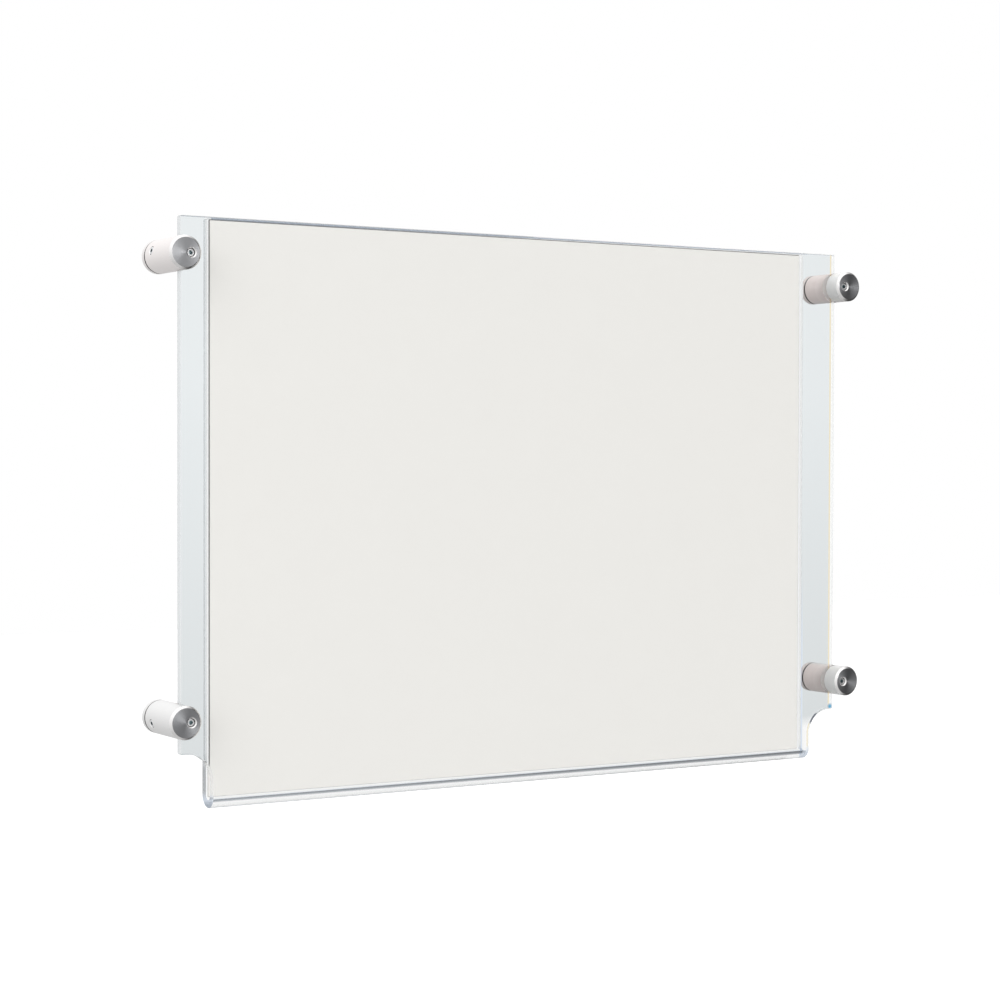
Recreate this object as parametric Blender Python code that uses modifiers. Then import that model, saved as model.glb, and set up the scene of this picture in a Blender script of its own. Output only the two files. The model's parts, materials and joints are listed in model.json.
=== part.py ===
# Acrylic standoff poster display: a clear sheet folded into a top-loading pocket, held off the wall at its
# side wings by four edge-grip standoffs. The wall is the plane y = 0 and the viewer stands on the -Y side.
# The origin is on the wall, midway between the four standoffs. Lengths are in metres.

from math import cos, pi, radians, sin, sqrt

import bmesh
import bpy

MM = 0.001

# Standoff pattern on the wall
SPAN_X = 311.4 * MM
SPAN_Z = 172.0 * MM

# Standoff sizes, measured from the wall towards the viewer
STANDOFF_LENGTH = 26.8 * MM
BARREL_RADIUS = 6.35 * MM
BARREL_CHAMFER = 0.8 * MM
FLANGE_THICKNESS = 2.4 * MM
FLANGE_GROOVE = 0.4 * MM
SPIGOT_RADIUS = 3.7 * MM
SPIGOT_END = 12.8 * MM
BORE_RADIUS = 3.9 * MM
BORE_END = 13.3 * MM
WALL_HOLE_RADIUS = 2.1 * MM
WALL_HOLE_SINK_RADIUS = 3.4 * MM

# Folded acrylic sheet
SHEET = 3.0 * MM
POCKET_GAP = 3.8 * MM
SHEET_FRONT = 18.6 * MM
WING_SPAN = 309.0 * MM
FOLD_WIDTH = 283.0 * MM
SHEET_TOP = 100.3 * MM
FOLD_BOTTOM = -120.0 * MM
WING_BOTTOM = -98.8 * MM
NOTCH_RADIUS = 10.5 * MM

# Card in the pocket, pushed towards one side of its play
CARD_WIDTH = 279.4 * MM
CARD_HEIGHT = 215.9 * MM
CARD_THICKNESS = 0.8 * MM
CARD_BACK_GAP = 0.5 * MM
CARD_SHIFT = -1.4 * MM

# Slot in the barrel, with room for the sheet in front and behind and at its edge
SLOT_BACK_GAP = 0.3 * MM
SLOT_FRONT_GAP = 0.5 * MM
SLOT_EDGE_GAP = 1.0 * MM

# M3 set screws with hex sockets, modelled without threads
SCREW_RADIUS = 1.4 * MM
SCREW_HOLE_RADIUS = 1.6 * MM
SCREW_CHAMFER = 0.25 * MM
SOCKET_FLATS = 1.5 * MM

# Grip screw in the front face and the nylon pad at its tip
GRIP_OFFSET = 2.2 * MM
GRIP_SINK_RADIUS = 2.0 * MM
GRIP_RECESS = 0.9 * MM
GRIP_SOCKET_DEPTH = 2.0 * MM
PAD_RADIUS = 1.25 * MM
PAD_THICKNESS = 1.2 * MM
PAD_CHAMFER = 0.2 * MM

# Lock screw in the side of the barrel, tilted away from the level of the panel's middle
LOCK_HEIGHT = 8.6 * MM
LOCK_TILT = radians(15.0)
LOCK_RECESS = 0.15 * MM
LOCK_SOCKET_DEPTH = 1.2 * MM

# Facets and clearances
TOUCH_GAP = 0.3 * MM
TIP_GAP = 0.2 * MM
OVERCUT = 2.0 * MM
MERGE_DISTANCE = 0.001 * MM
BARREL_STEPS = 40
SCREW_STEPS = 20
FOLD_STEPS = 18
NOTCH_STEPS = 12

# Finish of each kind of piece: colour, roughness, metallic, transmission
CLEAR_ACRYLIC = ((0.90, 0.93, 0.94), 0.04, 0.0, 1.0)
BLANK_CARD = ((0.83, 0.82, 0.79), 0.80, 0.0, 0.0)
SATIN_ALUMINIUM = ((0.82, 0.80, 0.79), 0.34, 1.0, 0.0)
BASE_ALUMINIUM = ((0.78, 0.77, 0.76), 0.40, 1.0, 0.0)
BRIGHT_STEEL = ((0.62, 0.62, 0.63), 0.25, 1.0, 0.0)
DARK_STEEL = ((0.30, 0.30, 0.31), 0.35, 1.0, 0.0)
NATURAL_NYLON = ((0.86, 0.84, 0.78), 0.50, 0.0, 0.0)

CORNERS = {
    "top_left": (-1, 1),
    "top_right": (1, 1),
    "bottom_left": (-1, -1),
    "bottom_right": (1, -1),
}


def clear_scene():
    for obj in list(bpy.data.objects):
        bpy.data.objects.remove(obj, do_unlink=True)


def new_collection(name):
    collection = bpy.data.collections.new(name)
    bpy.context.scene.collection.children.link(collection)
    return collection


def put_in(obj, collection):
    for old in list(obj.users_collection):
        old.objects.unlink(obj)
    collection.objects.link(obj)


def as_part(obj, finish):
    put_in(obj, parts)
    colour, roughness, metallic, transmission = finish
    material = bpy.data.materials.new(obj.name)
    material.use_nodes = True
    shader = material.node_tree.nodes["Principled BSDF"]
    shader.inputs["Base Color"].default_value = (*colour, 1.0)
    shader.inputs["Roughness"].default_value = roughness
    shader.inputs["Metallic"].default_value = metallic
    shader.inputs["Transmission Weight"].default_value = transmission
    obj.data.materials.append(material)
    return obj


def as_cutter(obj):
    put_in(obj, cutters)
    obj.hide_render = True
    obj.display_type = 'WIRE'
    return obj


def subtract(target, cutter):
    cut = target.modifiers.new("cut " + cutter.name, 'BOOLEAN')
    cut.operation = 'DIFFERENCE'
    cut.solver = 'EXACT'
    cut.object = cutter


def turned(name, profile, steps, closed=False):
    """A profile of (radius, height) points, run down its outer side, turned about local Z."""
    points = [(radius, 0.0, height) for radius, height in profile]
    edges = [(i, i + 1) for i in range(len(points) - 1)]
    if closed:
        edges.append((len(points) - 1, 0))
    mesh = bpy.data.meshes.new(name)
    mesh.from_pydata(points, edges, [])
    obj = bpy.data.objects.new(name, mesh)
    bpy.context.scene.collection.objects.link(obj)
    screw = obj.modifiers.new("turn", 'SCREW')
    screw.axis = 'Z'
    screw.angle = 2.0 * pi
    screw.steps = steps
    screw.render_steps = steps
    screw.use_merge_vertices = True
    screw.merge_threshold = MERGE_DISTANCE
    screw.use_smooth_shade = True
    return obj


def block(name, low, high):
    bpy.ops.mesh.primitive_cube_add(size=1.0)
    obj = bpy.context.object
    obj.name = name
    for vertex in obj.data.vertices:
        vertex.co = [a + (c + 0.5) * (b - a) for a, b, c in zip(low, high, vertex.co)]
    return obj


def extruded(name, outline, thickness):
    """A flat outline in local XY, thickened evenly to both sides along local Z, as a closed mesh."""
    curve = bpy.data.curves.new(name + " outline", 'CURVE')
    curve.dimensions = '2D'
    curve.fill_mode = 'BOTH'
    curve.extrude = thickness / 2.0
    spline = curve.splines.new('POLY')
    spline.points.add(len(outline) - 1)
    for point, (x, y) in zip(spline.points, outline):
        point.co = (x, y, 0.0, 1.0)
    spline.use_cyclic_u = True
    flat = bpy.data.objects.new(name + " outline", curve)
    bpy.context.scene.collection.objects.link(flat)
    evaluated = flat.evaluated_get(bpy.context.evaluated_depsgraph_get())
    mesh = bpy.data.meshes.new_from_object(evaluated)
    mesh.name = name
    bpy.data.objects.remove(flat, do_unlink=True)
    welded = bmesh.new()
    welded.from_mesh(mesh)
    bmesh.ops.remove_doubles(welded, verts=welded.verts, dist=MERGE_DISTANCE)
    bmesh.ops.recalc_face_normals(welded, faces=welded.faces)
    welded.to_mesh(mesh)
    welded.free()
    obj = bpy.data.objects.new(name, mesh)
    bpy.context.scene.collection.objects.link(obj)
    return obj


def arc(centre, radius, start, end, steps):
    angles = [start + (end - start) * i / steps for i in range(steps + 1)]
    return [(centre[0] + radius * cos(a), centre[1] + radius * sin(a)) for a in angles]


def fold_centre():
    outer = SHEET + POCKET_GAP / 2.0
    return -SHEET_FRONT + outer, FOLD_BOTTOM + outer


def make_holder():
    """The folded sheet: a U section run across the wings, then trimmed to the fold at the back and below."""
    centre = fold_centre()
    inner = POCKET_GAP / 2.0
    outer = inner + SHEET
    front, back = centre[0] - outer, centre[0] + outer
    section = [(back, SHEET_TOP), (centre[0] + inner, SHEET_TOP)]
    section += arc(centre, inner, 0.0, -pi, FOLD_STEPS)
    section += [(centre[0] - inner, SHEET_TOP), (front, SHEET_TOP)]
    section += arc(centre, outer, pi, 2.0 * pi, FOLD_STEPS)
    holder = extruded("acrylic_holder", section, WING_SPAN)
    holder.rotation_euler = (pi / 2.0, 0.0, pi / 2.0)
    edge = FOLD_WIDTH / 2.0
    outside = WING_SPAN / 2.0 + OVERCUT
    for side, label in ((-1, "left"), (1, "right")):
        low_x, high_x = sorted((side * edge, side * outside))
        trim = block(
            "back_trim_" + label,
            (low_x, centre[0], FOLD_BOTTOM - OVERCUT),
            (high_x, back + OVERCUT, SHEET_TOP + OVERCUT),
        )
        subtract(holder, as_cutter(trim))
        subtract(holder, make_notch("notch_" + label, side))
    return as_part(holder, CLEAR_ACRYLIC)


def make_notch(name, side):
    """The corner below a wing: a flat under the wing, a round, and the straight side of the fold."""
    edge = FOLD_WIDTH / 2.0
    outside = WING_SPAN / 2.0 + OVERCUT
    below = FOLD_BOTTOM - OVERCUT
    round_centre = (edge + NOTCH_RADIUS, WING_BOTTOM - NOTCH_RADIUS)
    outline = [(edge, below)]
    outline += arc(round_centre, NOTCH_RADIUS, pi, pi / 2.0, NOTCH_STEPS)
    outline += [(outside, WING_BOTTOM), (outside, below)]
    notch = extruded(name, [(side * x, z) for x, z in outline], 4.0 * SHEET_FRONT)
    notch.rotation_euler = (pi / 2.0, 0.0, 0.0)
    return as_cutter(notch)


def make_card():
    """The card stands near the back leaf, just clear of the inside of the fold."""
    centre = fold_centre()
    inner = POCKET_GAP / 2.0
    back = centre[0] + inner - CARD_BACK_GAP
    reach = back - centre[0]
    bottom = centre[1] - sqrt(inner ** 2 - reach ** 2) + TOUCH_GAP
    half = CARD_WIDTH / 2.0
    card = block(
        "poster_insert",
        (CARD_SHIFT - half, back - CARD_THICKNESS, bottom),
        (CARD_SHIFT + half, back, bottom + CARD_HEIGHT),
    )
    return as_part(card, BLANK_CARD)


def make_standoff_frame(corner):
    """Local Z points out of the wall and local X towards the panel."""
    side, level = CORNERS[corner]
    frame = bpy.data.objects.new("standoff_" + corner, None)
    put_in(frame, parts)
    frame.location = (side * SPAN_X / 2.0, 0.0, level * SPAN_Z / 2.0)
    frame.rotation_euler = (pi / 2.0, 0.0 if side < 0 else pi, 0.0)
    return frame


def place(obj, frame, location=(0.0, 0.0, 0.0), rotation=(0.0, 0.0, 0.0)):
    obj.parent = frame
    obj.location = location
    obj.rotation_euler = rotation
    return obj


def lock_placing(corner):
    """The lock screw's local Z points outward from the panel, tilted up at the top and down at the bottom."""
    side, level = CORNERS[corner]
    return (0.0, 0.0, LOCK_HEIGHT), (0.0, -pi / 2.0, side * level * LOCK_TILT)


def make_wall_base(corner, frame):
    sink_depth = WALL_HOLE_SINK_RADIUS - WALL_HOLE_RADIUS
    profile = [
        (WALL_HOLE_SINK_RADIUS, SPIGOT_END),
        (SPIGOT_RADIUS, SPIGOT_END),
        (SPIGOT_RADIUS, FLANGE_THICKNESS),
        (BARREL_RADIUS, FLANGE_THICKNESS),
        (BARREL_RADIUS, 0.0),
        (WALL_HOLE_RADIUS, 0.0),
        (WALL_HOLE_RADIUS, SPIGOT_END - sink_depth),
    ]
    base = turned("wall_base_" + corner, profile, BARREL_STEPS, closed=True)
    place(base, frame)
    return as_part(base, BASE_ALUMINIUM)


def make_barrel(corner, frame):
    back = FLANGE_THICKNESS + FLANGE_GROOVE
    profile = [
        (0.0, STANDOFF_LENGTH),
        (BARREL_RADIUS - BARREL_CHAMFER, STANDOFF_LENGTH),
        (BARREL_RADIUS, STANDOFF_LENGTH - BARREL_CHAMFER),
        (BARREL_RADIUS, back),
        (BORE_RADIUS, back),
        (BORE_RADIUS, BORE_END),
        (0.0, BORE_END),
    ]
    barrel = turned("barrel_" + corner, profile, BARREL_STEPS)
    place(barrel, frame)
    for cutter in (make_slot(corner), make_grip_hole(corner), make_lock_hole(corner)):
        location, rotation = cutter.location.copy(), cutter.rotation_euler.copy()
        subtract(barrel, as_cutter(place(cutter, frame, location, rotation)))
    return as_part(barrel, SATIN_ALUMINIUM)


def slot_span():
    return SHEET_FRONT - SHEET - SLOT_BACK_GAP, SHEET_FRONT + SLOT_FRONT_GAP


def make_slot(corner):
    floor = (SPAN_X - WING_SPAN) / 2.0 - SLOT_EDGE_GAP
    reach = BARREL_RADIUS + OVERCUT
    back, front = slot_span()
    return block("slot_" + corner, (floor, -reach, back), (reach, reach, front))


def make_grip_hole(corner):
    top = STANDOFF_LENGTH + OVERCUT
    sink_depth = GRIP_SINK_RADIUS - SCREW_HOLE_RADIUS
    middle = sum(slot_span()) / 2.0
    profile = [
        (0.0, top),
        (GRIP_SINK_RADIUS + OVERCUT, top),
        (SCREW_HOLE_RADIUS, STANDOFF_LENGTH - sink_depth),
        (SCREW_HOLE_RADIUS, middle),
        (0.0, middle),
    ]
    hole = turned("grip_hole_" + corner, profile, SCREW_STEPS)
    hole.location.x = GRIP_OFFSET
    return hole


def make_lock_hole(corner):
    profile = [
        (0.0, BARREL_RADIUS + OVERCUT),
        (SCREW_HOLE_RADIUS, BARREL_RADIUS + OVERCUT),
        (SCREW_HOLE_RADIUS, BORE_RADIUS / 2.0),
        (0.0, BORE_RADIUS / 2.0),
    ]
    hole = turned("lock_hole_" + corner, profile, SCREW_STEPS)
    hole.location, hole.rotation_euler = lock_placing(corner)
    return hole


def set_screw(name, tip, head, socket_depth):
    """A headless screw along local Z with chamfered ends and a hex socket at its head end."""
    profile = [
        (0.0, head),
        (SCREW_RADIUS - SCREW_CHAMFER, head),
        (SCREW_RADIUS, head - SCREW_CHAMFER),
        (SCREW_RADIUS, tip + SCREW_CHAMFER),
        (SCREW_RADIUS - SCREW_CHAMFER, tip),
        (0.0, tip),
    ]
    screw = turned(name, profile, SCREW_STEPS)
    bpy.ops.mesh.primitive_cylinder_add(vertices=6, radius=SOCKET_FLATS / sqrt(3.0), depth=2.0 * socket_depth)
    socket = bpy.context.object
    socket.name = name + "_socket"
    place(socket, screw, (0.0, 0.0, head))
    subtract(screw, as_cutter(socket))
    return screw


def pad_span():
    tip = SHEET_FRONT + TOUCH_GAP
    return tip, tip + PAD_THICKNESS


def make_grip_screw(corner, frame):
    tip = pad_span()[1] + TIP_GAP
    screw = set_screw("grip_screw_" + corner, tip, STANDOFF_LENGTH - GRIP_RECESS, GRIP_SOCKET_DEPTH)
    place(screw, frame, (GRIP_OFFSET, 0.0, 0.0))
    return as_part(screw, BRIGHT_STEEL)


def make_grip_pad(corner, frame):
    tip, top = pad_span()
    profile = [
        (0.0, top),
        (PAD_RADIUS, top),
        (PAD_RADIUS, tip + PAD_CHAMFER),
        (PAD_RADIUS - PAD_CHAMFER, tip),
        (0.0, tip),
    ]
    pad = turned("grip_pad_" + corner, profile, SCREW_STEPS)
    place(pad, frame, (GRIP_OFFSET, 0.0, 0.0))
    return as_part(pad, NATURAL_NYLON)


def make_lock_screw(corner, frame):
    tip = SPIGOT_RADIUS + TOUCH_GAP
    screw = set_screw("lock_screw_" + corner, tip, BARREL_RADIUS - LOCK_RECESS, LOCK_SOCKET_DEPTH)
    place(screw, frame, *lock_placing(corner))
    return as_part(screw, DARK_STEEL)


clear_scene()
parts = new_collection("acrylic standoff poster display")
cutters = new_collection("cutters")
make_holder()
make_card()
for corner_name in CORNERS:
    standoff = make_standoff_frame(corner_name)
    make_wall_base(corner_name, standoff)
    make_barrel(corner_name, standoff)
    make_grip_pad(corner_name, standoff)
    make_grip_screw(corner_name, standoff)
    make_lock_screw(corner_name, standoff)
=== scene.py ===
# Acrylic standoff poster display: finishes and fine shapes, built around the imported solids.
# The wall is the plane y = 0 and the viewer stands on the -Y side. Lengths are in metres.
import json
from math import cos, pi, radians, sin, sqrt

import bmesh
import bpy
from mathutils import Matrix, Vector

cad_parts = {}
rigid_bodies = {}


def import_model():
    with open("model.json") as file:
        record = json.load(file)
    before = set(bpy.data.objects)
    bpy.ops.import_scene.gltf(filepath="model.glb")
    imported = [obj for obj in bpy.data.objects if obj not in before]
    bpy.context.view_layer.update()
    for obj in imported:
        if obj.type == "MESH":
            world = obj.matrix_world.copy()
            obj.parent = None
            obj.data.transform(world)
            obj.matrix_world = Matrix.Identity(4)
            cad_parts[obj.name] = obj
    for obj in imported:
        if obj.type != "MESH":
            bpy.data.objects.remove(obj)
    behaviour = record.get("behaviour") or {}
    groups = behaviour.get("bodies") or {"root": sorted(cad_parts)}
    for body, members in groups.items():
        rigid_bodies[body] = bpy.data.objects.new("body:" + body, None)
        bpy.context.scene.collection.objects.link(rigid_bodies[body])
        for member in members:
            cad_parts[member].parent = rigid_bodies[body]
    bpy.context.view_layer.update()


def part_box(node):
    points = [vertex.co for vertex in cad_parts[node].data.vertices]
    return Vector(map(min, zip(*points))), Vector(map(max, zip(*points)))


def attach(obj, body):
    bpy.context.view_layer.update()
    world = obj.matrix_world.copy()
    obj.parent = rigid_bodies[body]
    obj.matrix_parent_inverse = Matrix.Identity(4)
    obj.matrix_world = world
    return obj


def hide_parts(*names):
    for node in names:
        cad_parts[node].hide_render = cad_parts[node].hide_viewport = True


mm = 0.001
mergeDistance = 0.0001 * mm
noiseSpan = (0.3, 0.7)  # the part of a noise that makes the full change of a finish
seam = (-1 * mm, 1 * mm)  # finishes that differ from side to side change over in this span
flat = 0.9  # a face is square to an axis when this much of its normal lies along it
slanted = 0.2  # and slanted towards it when this much does

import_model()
scene = bpy.context.scene
scene.view_settings.view_transform = 'Standard'


# Camera at the photograph's viewing angle
photoView = {
    "lens": 81.704,
    "place": (-0.48744, -0.79402, 0.01209),
    "pitch": radians(-1.119),
    "roll": radians(0.135),
    "yaw": radians(31.253),
}


def makeCamera(view):
    camera = bpy.data.objects.new("photoCamera", bpy.data.cameras.new("photoCamera"))
    camera.data.lens = view["lens"]
    camera.location = view["place"]
    camera.rotation_euler = (pi / 2 + view["pitch"], -view["roll"], -view["yaw"])
    scene.collection.objects.link(camera)
    scene.camera = camera


makeCamera(photoView)


# Node helpers, for materials and for geometry trees alike
def addNode(tree, kind, values=None, **settings):
    node = tree.nodes.new(kind)
    for key, value in settings.items():
        setattr(node, key, value)
    for key, value in (values or {}).items():
        if isinstance(value, bpy.types.NodeSocket):
            tree.links.new(value, node.inputs[key])
        else:
            node.inputs[key].default_value = value
    return node


def maths(tree, operation, *operands):
    return addNode(tree, "ShaderNodeMath", dict(enumerate(operands)), operation=operation).outputs[0]


def multiply(tree, first, *others):
    product = first
    for other in others:
        product = maths(tree, 'MULTIPLY', product, other)
    return product


def mapRange(tree, value, low, high, toLow=0.0, toHigh=1.0):
    values = {"Value": value, "From Min": low, "From Max": high, "To Min": toLow, "To Max": toHigh}
    return addNode(tree, "ShaderNodeMapRange", values).outputs[0]


def mixColour(tree, share, first, second):
    values = {0: share, 6: (*first, 1) if isinstance(first, tuple) else first,
              7: (*second, 1) if isinstance(second, tuple) else second}
    return addNode(tree, "ShaderNodeMix", values, data_type='RGBA').outputs[2]


def shaded(colour, factor):
    return tuple(factor * c for c in colour)


def newFinish(name, values):
    finish = bpy.data.materials.new(name)
    finish.use_nodes = True
    shader = finish.node_tree.nodes["Principled BSDF"]
    for key, value in values.items():
        shader.inputs[key].default_value = value
    return finish, finish.node_tree, shader


def objectPlace(tree):
    coordinates = addNode(tree, "ShaderNodeTexCoord")
    parts = addNode(tree, "ShaderNodeSeparateXYZ", {0: coordinates.outputs["Object"]})
    return coordinates.outputs["Object"], parts.outputs


def grain(tree, place, size, detail=2.0, roughness=0.5):
    values = {"Vector": place, "Scale": 1 / size, "Detail": detail, "Roughness": roughness}
    return addNode(tree, "ShaderNodeTexNoise", values).outputs["Fac"]


def addBump(tree, shader, height, strength, distance):
    values = {"Height": height, "Strength": strength, "Distance": distance}
    bump = addNode(tree, "ShaderNodeBump", values)
    tree.links.new(bump.outputs[0], shader.inputs["Normal"])


def between(tree, value, low, high, fade):
    # 1 from low to high, falling to 0 within the fade on either side
    rise = mapRange(tree, value, low - fade, low)
    fall = mapRange(tree, value, high, high + fade, 1.0, 0.0)
    return multiply(tree, rise, fall)


def distanceTo(tree, x, z, centreX, centreZ):
    offX = maths(tree, 'SUBTRACT', x, centreX)
    offZ = maths(tree, 'SUBTRACT', z, centreZ)
    reach = addNode(tree, "ShaderNodeCombineXYZ", {0: offX, 2: offZ}).outputs[0]
    return addNode(tree, "ShaderNodeVectorMath", {0: reach}, operation='LENGTH').outputs["Value"]


# Mesh helpers
def newPiece(name, mesh):
    piece = bpy.data.objects.new(name, mesh)
    scene.collection.objects.link(piece)
    return piece


def shapeToMesh(name, shape):
    mesh = bpy.data.meshes.new(name)
    shape.to_mesh(mesh)
    shape.free()
    return mesh


def shadeSmooth(mesh, angle=radians(32)):
    mesh.shade_smooth()
    mesh.set_sharp_from_angle(angle=angle)


def faceOutward(shape):
    bmesh.ops.recalc_face_normals(shape, faces=shape.faces)
    if shape.calc_volume(signed=True) < 0:
        bmesh.ops.reverse_faces(shape, faces=shape.faces)


def easeCorners(points, steps=4):
    # each point is (x, y, cut), and its corner is rounded from cut before it to cut after it
    eased = []
    for i, (x, y, cut) in enumerate(points):
        corner = Vector((x, y))
        if cut == 0:
            eased.append(corner)
            continue
        before = Vector(points[i - 1][:2]) - corner
        after = Vector(points[(i + 1) % len(points)][:2]) - corner
        start = corner + before.normalized() * cut
        end = corner + after.normalized() * cut
        for step in range(steps + 1):
            t = step / steps
            eased.append(start * (1 - t) ** 2 + corner * (2 * t * (1 - t)) + end * t ** 2)
    return eased


def turnProfile(name, profile, steps, closed=False):
    # a profile of (radius, height) points, turned about local Z
    shape = bmesh.new()
    ring = [shape.verts.new((radius, 0, height)) for radius, height in profile]
    pairs = list(zip(ring, ring[1:]))
    if closed:
        pairs.append((ring[-1], ring[0]))
    edges = [shape.edges.new(pair) for pair in pairs]
    bmesh.ops.spin(shape, geom=ring + edges, cent=(0, 0, 0), axis=(0, 0, 1), angle=2 * pi, steps=steps)
    bmesh.ops.remove_doubles(shape, verts=shape.verts, dist=mergeDistance)
    faceOutward(shape)
    return shapeToMesh(name, shape)


def blockShape(low, high):
    shape = bmesh.new()
    bmesh.ops.create_cube(shape, size=1)
    for vert in shape.verts:
        vert.co = [a + (c + 0.5) * (b - a) for a, b, c in zip(low, high, vert.co)]
    return shape


def evaluatedMesh(piece):
    return bpy.data.meshes.new_from_object(piece.evaluated_get(bpy.context.evaluated_depsgraph_get()))


def cutAway(piece, cutters):
    for cutter in cutters:
        cut = piece.modifiers.new(cutter.name, 'BOOLEAN')
        cut.operation = 'DIFFERENCE'
        cut.solver = 'EXACT'
        cut.object = cutter
    result = evaluatedMesh(piece)
    piece.modifiers.clear()
    piece.data = result
    for cutter in cutters:
        bpy.data.objects.remove(cutter, do_unlink=True)


def giveFinishes(mesh, finishes, choose):
    # choose names the finish of a face from its centre and its normal
    mesh.materials.clear()
    for finish in finishes.values():
        mesh.materials.append(finish)
    order = list(finishes)
    for face in mesh.polygons:
        face.material_index = order.index(choose(face.center, face.normal))


def finishPiece(piece, node, body):
    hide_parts(node)
    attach(piece, body)


# Folded acrylic sheet
holderSizes = {
    "sheet": 3.0 * mm,
    "foldWidth": 283.0 * mm,
    "wingBottom": -98.8 * mm,
    "notchRadius": 10.5 * mm,
    "notchSteps": 24,
    "foldSteps": 40,
    "cornerCut": 0.8 * mm,
    "arris": 0.25 * mm,
    "support": 0.5 * mm,
}
acrylicLook = {
    "clear": (0.985, 0.99, 0.99),
    "wingTop": (0.74, 0.80, 0.82),
    "wingBottom": (0.56, 0.61, 0.625),
    "wingDropFrom": 40 * mm,
    "leftWing": (-154.2 * mm, -144.8 * mm),
    "rightWing": (136.7 * mm, 151.8 * mm),
    "wingFade": (-101 * mm, -106 * mm),
    "blueLine": (0.60, 0.70, 0.86),
    "blueWidth": 0.8 * mm,
    "blueFrom": (-40 * mm, -75 * mm),
    "rimBand": (0.24, 0.285, 0.36),
    "overCard": (-142 * mm, 139 * mm),
    "rimDepth": (1.15 * mm, 0.55 * mm),
    "wingRimDepth": 0.4 * mm,
    "warmLine": (0.85, 0.70, 0.41),
    "warmWidth": 0.65 * mm,
    "notchWarm": (-114 * mm, -104.8 * mm),
    "notchWarmPlace": (0.9 * mm, 1.4 * mm),
    "notchDark": (0.04, 0.045, 0.06),
    "notchDarkSpan": (-104.0 * mm, -100.6 * mm),
    "notchDarkWidth": 1.1 * mm,
    "notchFade": 1 * mm,
    "keel": (0.72, 0.82, 0.95),
    "keelHeight": (0.3 * mm, 0.7 * mm),
    "blueGlint": (0.03, 0.22, 0.46),
    "glintPlace": (152.9 * mm, -97.6 * mm),
    "glintRadius": (0.65 * mm, 1.69 * mm),
    "fade": 0.2 * mm,
    "hazeSize": 22 * mm,
    "hazeSpan": (0.35, 0.75),
    "roughness": (0.008, 0.03),
}
edgeLook = {
    "wingEnd": (0.72, 0.745, 0.76),
    "backEnd": (0.30, 0.315, 0.33),
    "frontEnd": (0.86, 0.87, 0.88),
    "foldEnd": (0.62, 0.68, 0.77),
    "right": (0.96, 0.97, 0.975),
    "turn": (-99 * mm, -106 * mm),
    "bendHeight": (6 * mm, 3 * mm),
    "clearness": (0.65, 0.30),
    "scrapeSize": 0.4 * mm,
    "scrapeStretch": (1, 1, 0.15),
    "roughness": (0.12, 0.25),
}


def fromRightNotch(tree, x, z):
    # distance inward from the rim of the right notch, and below it from the end of the fold
    notch = holderSizes["notchRadius"]
    foldX = holderSizes["foldWidth"] / 2
    centreZ = holderSizes["wingBottom"] - notch
    fromArc = maths(tree, 'SUBTRACT', distanceTo(tree, x, z, foldX + notch, centreZ), notch)
    fromEnd = maths(tree, 'SUBTRACT', foldX, x)
    return mapRange(tree, maths(tree, 'GREATER_THAN', z, centreZ), 0, 1, fromEnd, fromArc)


def openToLamps(finish, tree, shader):
    # lamps and soft light pass straight through, so the card is lit as if uncovered
    path = addNode(tree, "ShaderNodeLightPath").outputs
    lit = maths(tree, 'MAXIMUM', path["Is Shadow Ray"], path["Is Diffuse Ray"])
    clear = addNode(tree, "ShaderNodeBsdfTransparent")
    mix = addNode(tree, "ShaderNodeMixShader", {0: lit, 1: shader.outputs[0], 2: clear.outputs[0]})
    tree.links.new(mix.outputs[0], tree.nodes["Material Output"].inputs["Surface"])
    return finish


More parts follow.
